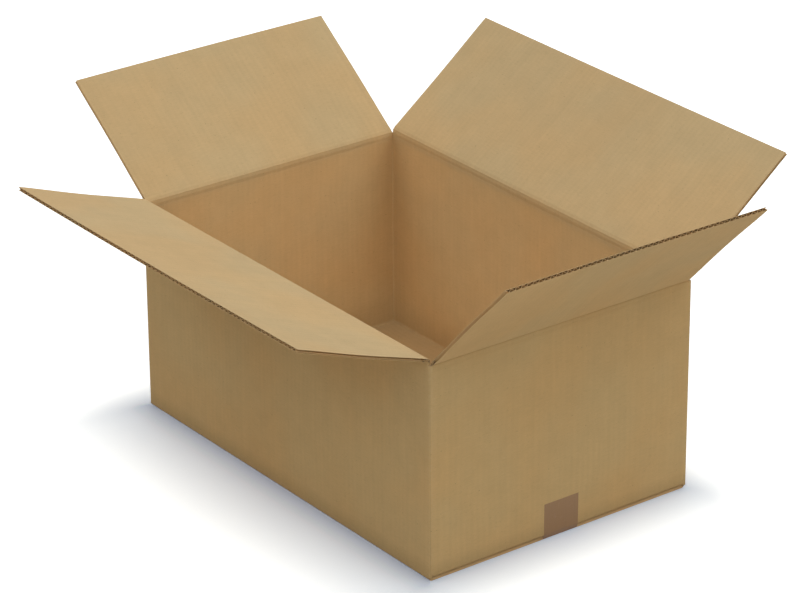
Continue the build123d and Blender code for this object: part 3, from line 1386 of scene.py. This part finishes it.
@dataclass
class Studio:
    """White sweep under a soft ring of light, with a weak lamp behind the right end.

    A faint warm lamp in the opening stands for the light that the kraft walls pass to each other. The
    sweep is open under the carton, where only a view from below could see it.
    """

    half_length: float
    half_width: float
    horizon: float = 0.05
    ring: float = 1.24
    zenith: float = 0.30
    side_panel: float = 0.30
    below: float = 0.85
    key_power: float = 8.0
    key_size: float = 2.0
    key_colour: Colour = (1.0, 0.96, 0.90)
    key_place: tuple[float, float, float] = (0.9, 1.9, 3.2)
    fill_power: float = 0.115
    fill_colour: Colour = (1.0, 0.70, 0.45)
    fill_level: float = 0.262
    fill_margin: float = 8.0 * MM
    floor_size: float = 24.0
    level: float = -0.2 * MM
    inset: float = 4.5 * MM

    def build(self) -> None:
        """Make the floor, the world and both lamps."""
        mesh = bpy.data.meshes.new("floor")
        rim = self.floor_size / 2
        corners = []
        for x, y in ((rim, rim), (self.half_length - self.inset, self.half_width - self.inset)):
            corners += [(-x, -y, self.level), (x, -y, self.level), (x, y, self.level), (-x, y, self.level)]
        mesh.from_pydata(corners, [], [(0, 1, 5, 4), (1, 2, 6, 5), (2, 3, 7, 6), (3, 0, 4, 7)])
        mesh.materials.append(FloorFinish(self.half_length, self.half_width).material())
        add_object("floor", mesh)
        self.build_sky()
        sides = (self.key_size, self.key_size)
        key = AreaLamp("key", "DISK", sides, self.key_power, self.key_colour, self.key_place).build()
        key.rotation_euler = Vector(self.key_place).to_track_quat("Z", "Y").to_euler()
        sides = tuple(2 * (half - self.fill_margin) for half in (self.half_length, self.half_width))
        place = (0.0, 0.0, self.fill_level)
        fill = AreaLamp("inside_fill", "RECTANGLE", sides, self.fill_power, self.fill_colour, place).build()
        fill.visible_camera = fill.visible_glossy = fill.visible_transmission = False

    def build_sky(self) -> None:
        """Light the carton from a ring half-way up the sky, which the camera sees as plain white."""
        world = bpy.data.worlds.new("soft_sky")
        graph = Graph.cleared(world)
        towards = graph.add("ShaderNodeTexCoord").outputs["Generated"]
        east, _, height = graph.add("ShaderNodeSeparateXYZ", {0: towards}).outputs
        light = graph.ramp(height, 0.40, 0.60, self.horizon, self.ring)
        light = graph.ramp(height, 0.78, 0.97, light, self.zenith)
        panel = graph.times(graph.ramp(east, 0.45, 0.85), graph.ramp(height, 0.15, 0.30))
        light = graph.math("MULTIPLY_ADD", panel, self.side_panel, light)
        light = graph.ramp(height, -0.10, 0.0, self.below, light)
        strength = graph.add("ShaderNodeMix", {0: graph.seen(), 2: light, 3: 1.0}, data_type="FLOAT")
        sky = {"Strength": strength.outputs[0], "Color": rgba((1.0, 1.0, 1.0))}
        graph.add("ShaderNodeOutputWorld", {0: graph.add("ShaderNodeBackground", sky).outputs[0]})
        bpy.context.scene.world = world


WARPS = {
    Side.FRONT_LONG: FlapWarp(edge_bow=1.2 * MM, depth_bow=1.2 * MM, twist=0.4 * MM, inward=False),
    Side.BACK_LONG: FlapWarp(edge_bow=1.5 * MM, depth_bow=0.8 * MM, twist=0.5 * MM, inward=False),
    Side.LEFT_SHORT: FlapWarp(edge_bow=1.0 * MM, depth_bow=0.8 * MM, twist=0.3 * MM, inward=True),
    Side.RIGHT_SHORT: FlapWarp(edge_bow=0.8 * MM, depth_bow=1.2 * MM, twist=0.5 * MM, inward=True),
}


def main() -> None:
    """Build the carton piece by piece around its frame, then the studio and the camera."""
    logging.basicConfig(level=logging.INFO, format="%(name)s: %(message)s")
    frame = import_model()
    low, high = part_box("box_body")
    board = Board()
    papers = Papers.made(board)
    warp = WallWarp(length=high.x - low.x, width=high.y - low.y, height=high.z)
    short_flap_end = warp.length / 2 - board.half - Hinge.read(Side.LEFT_SHORT, frame).depth
    pieces = [FoldedWalls(frame["nodes"]["box_body"], papers, board, warp, short_flap_end).build()]
    panel = Panel(board, papers, corrugated_group())
    level = 1.5 * board.thickness + board.sheet_gap
    span = warp.width - 2 * board.thickness - board.sheet_gap
    for side in (-1, 1):
        pieces.append(FluteEdge(panel, side, short_flap_end, level, span).build())
    for side in Side:
        hinge = Hinge.read(side, frame)
        pieces.append(TopFlap(hinge, panel, WARPS[side]).build())
        pieces.append(Crease(hinge, papers, board).build())
    pieces.append(BottomTape(frame["nodes"]["bottom_tape"], TapeFinish().material(), warp).build())
    for piece in pieces:
        log.info("%s: %d faces", piece.name, len(piece.data.polygons))
    Studio(warp.length / 2, warp.width / 2).build()
    Camera().build()
    bpy.context.scene.view_settings.view_transform = "Standard"


if __name__ == "__main__":
    main()
